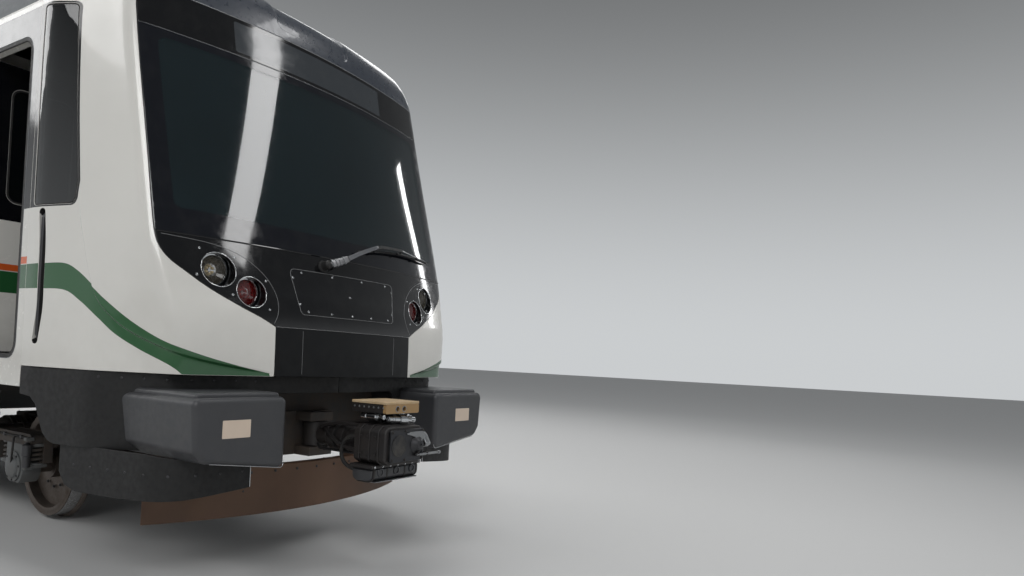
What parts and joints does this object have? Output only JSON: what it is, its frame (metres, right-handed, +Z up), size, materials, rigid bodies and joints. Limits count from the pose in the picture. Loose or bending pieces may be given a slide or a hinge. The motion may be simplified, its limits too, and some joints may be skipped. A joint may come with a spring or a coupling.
{
  "type": "metro car",
  "caption": "Metro motor car with a moulded driver's cab, wide plug doors, two powered bogies, folded pantograph, automatic coupler and a rear gangway.",
  "frame": {"origin": "bottom centre of the car's box: half way between the coupling faces, on the centre line, level with the wheel flange tips, 28 mm under the rail top", "axes": "+X towards the driver's cab, +Y to the car's left, +Z up"},
  "size_m": [23.3, 3.2032, 4.688],
  "materials": {
    "white_shell": "gloss white moulded shell",
    "white_paint": "gloss white body paint with a black window band and a green stripe",
    "door_paint": "gloss white door paint with a black window band and an orange stripe",
    "black_gloss": "gloss black",
    "tinted_glass": "tinted",
    "lamp_clear": "clear lens",
    "lamp_red": "red lens",
    "moulded_grey": "dark grey moulded covers",
    "black_skirt": "black",
    "roof_paint": "matt grey roof paint",
    "unit_grey": "grey cases",
    "chassis_paint": "dark grey chassis paint with brake dust",
    "brown_plate": "brown grey plate",
    "wheel_steel": "rolled steel, bright on the tread",
    "coupler_steel": "oily cast steel",
    "coupler_tan": "tan paint, worn",
    "rubber": "rubber",
    "floor_vinyl": "grey speckled floor covering",
    "lining": "light grey lining",
    "seat_plastic": "green moulded seats",
    "steel_rail": "polished steel",
    "seat_fabric": "dark fabric",
    "insulator_red": "grey steel on red brown insulators",
    "contact_carbon": "carbon contact strips"
  },
  "bodies": {
    "car_body": {"cab_mask": "white_shell", "windscreen": "tinted_glass", "destination_glass": "tinted_glass", "roof_fairing": "black_gloss", "front_panel": "black_gloss", "lower_front_panel": "black_gloss", "front_hatch": "black_gloss", "headlamps": "lamp_clear", "tail_lamps": "lamp_red", "quarter_windows": "tinted_glass", "roof": "roof_paint", "side_wall_left": "white_paint", "side_wall_right": "white_paint", "side_windows": "tinted_glass", "passenger_doors_left": "door_paint", "passenger_doors_right": "door_paint", "door_windows": "tinted_glass", "rear_end_wall": "white_paint", "floor": "floor_vinyl", "underframe": "chassis_paint", "bolsters": "chassis_paint", "front_skirt": "black_skirt", "bumper_covers": "moulded_grey", "obstacle_deflector": "brown_plate", "wiper": "rubber", "cab_bulkhead": "lining", "driver_desk": "black_skirt", "driver_seat": "seat_fabric", "saloon_ceiling": "lining", "bench_seats": "seat_plastic", "grab_poles": "steel_rail", "cab_grab_rails": "steel_rail", "gangway_bellows": "rubber", "roof_units": "unit_grey", "pantograph_base": "insulator_red", "underfloor_cases": "chassis_paint", "front_coupler_mount": "chassis_paint", "rear_drawbar_mount": "chassis_paint", "door_hinges": "steel_rail"},
    "cab_door_left": {"cab_door_left": "door_paint"},
    "cab_door_right": {"cab_door_right": "door_paint"},
    "bulkhead_door": {"bulkhead_door": "lining"},
    "pantograph_lower_arm": {"pantograph_lower_arm": "unit_grey"},
    "pantograph_upper_arm": {"pantograph_upper_arm": "unit_grey"},
    "pantograph_head": {"pantograph_head": "contact_carbon"},
    "front_coupler": {"coupler_head": "coupler_steel", "coupler_electric_box": "coupler_tan", "coupler_lower_case": "coupler_steel"},
    "rear_drawbar": {"rear_drawbar": "coupler_steel"},
    "bogie_front": {"bogie_frame_front": "chassis_paint", "air_springs_front": "rubber", "traction_motors_front": "chassis_paint"},
    "bogie_rear": {"bogie_frame_rear": "chassis_paint", "air_springs_rear": "rubber", "traction_motors_rear": "chassis_paint"},
    "wheelset_1": {"wheelset_1": "wheel_steel"},
    "wheelset_2": {"wheelset_2": "wheel_steel"},
    "wheelset_3": {"wheelset_3": "wheel_steel"},
    "wheelset_4": {"wheelset_4": "wheel_steel"}
  },
  "joints": [
    {"name": "bogie_front_yaw", "type": "hinge", "parent": "car_body", "child": "bogie_front", "pos_m": [7.3, 0, 0.648], "axis": [0, 0, 1], "range_deg": [-4, 4]},
    {"name": "bogie_rear_yaw", "type": "hinge", "parent": "car_body", "child": "bogie_rear", "pos_m": [-7.9, 0, 0.648], "axis": [0, 0, 1], "range_deg": [-4, 4]},
    {"name": "wheelset_1_spin", "type": "hinge", "parent": "bogie_front", "child": "wheelset_1", "pos_m": [6.15, 0, 0.458], "axis": [0, 1, 0], "continuous": true},
    {"name": "wheelset_2_spin", "type": "hinge", "parent": "bogie_front", "child": "wheelset_2", "pos_m": [8.45, 0, 0.458], "axis": [0, 1, 0], "continuous": true},
    {"name": "wheelset_3_spin", "type": "hinge", "parent": "bogie_rear", "child": "wheelset_3", "pos_m": [-9.05, 0, 0.458], "axis": [0, 1, 0], "continuous": true},
    {"name": "wheelset_4_spin", "type": "hinge", "parent": "bogie_rear", "child": "wheelset_4", "pos_m": [-6.75, 0, 0.458], "axis": [0, 1, 0], "continuous": true},
    {"name": "cab_door_left_hinge", "type": "hinge", "parent": "car_body", "child": "cab_door_left", "pos_m": [8.943, 1.56, 2.428], "axis": [0, 0, -1], "range_deg": [0, 90]},
    {"name": "cab_door_right_hinge", "type": "hinge", "parent": "car_body", "child": "cab_door_right", "pos_m": [8.943, -1.56, 2.428], "axis": [0, 0, 1], "range_deg": [-90, 0]},
    {"name": "bulkhead_door_hinge", "type": "hinge", "parent": "car_body", "child": "bulkhead_door", "pos_m": [8.72, -0.323, 2.328], "axis": [0, 0, 1], "range_deg": [0, 90]},
    {"name": "pantograph_raise", "type": "hinge", "parent": "car_body", "child": "pantograph_lower_arm", "pos_m": [6.07, 0, 4.453], "axis": [0, -1, 0], "range_deg": [0, 50]},
    {"name": "pantograph_knee", "type": "hinge", "parent": "pantograph_lower_arm", "child": "pantograph_upper_arm", "pos_m": [7.63, 0, 4.483], "axis": [0, -1, 0], "range_deg": [-100, 0]},
    {"name": "pantograph_head_pivot", "type": "hinge", "parent": "pantograph_upper_arm", "child": "pantograph_head", "pos_m": [5.99, 0, 4.583], "axis": [0, -1, 0], "range_deg": [0, 50]},
    {"name": "front_coupler_swing", "type": "hinge", "parent": "car_body", "child": "front_coupler", "pos_m": [10.69, 0, 0.868], "axis": [0, 0, 1], "range_deg": [-15, 15]},
    {"name": "rear_drawbar_swing", "type": "hinge", "parent": "car_body", "child": "rear_drawbar", "pos_m": [-11.02, 0, 0.868], "axis": [0, 0, 1], "range_deg": [-15, 15]}
  ],
  "couplings": [
    {"joint": "pantograph_knee", "follows": "pantograph_raise", "ratio": -2},
    {"joint": "pantograph_head_pivot", "follows": "pantograph_raise", "ratio": 1}
  ]
}
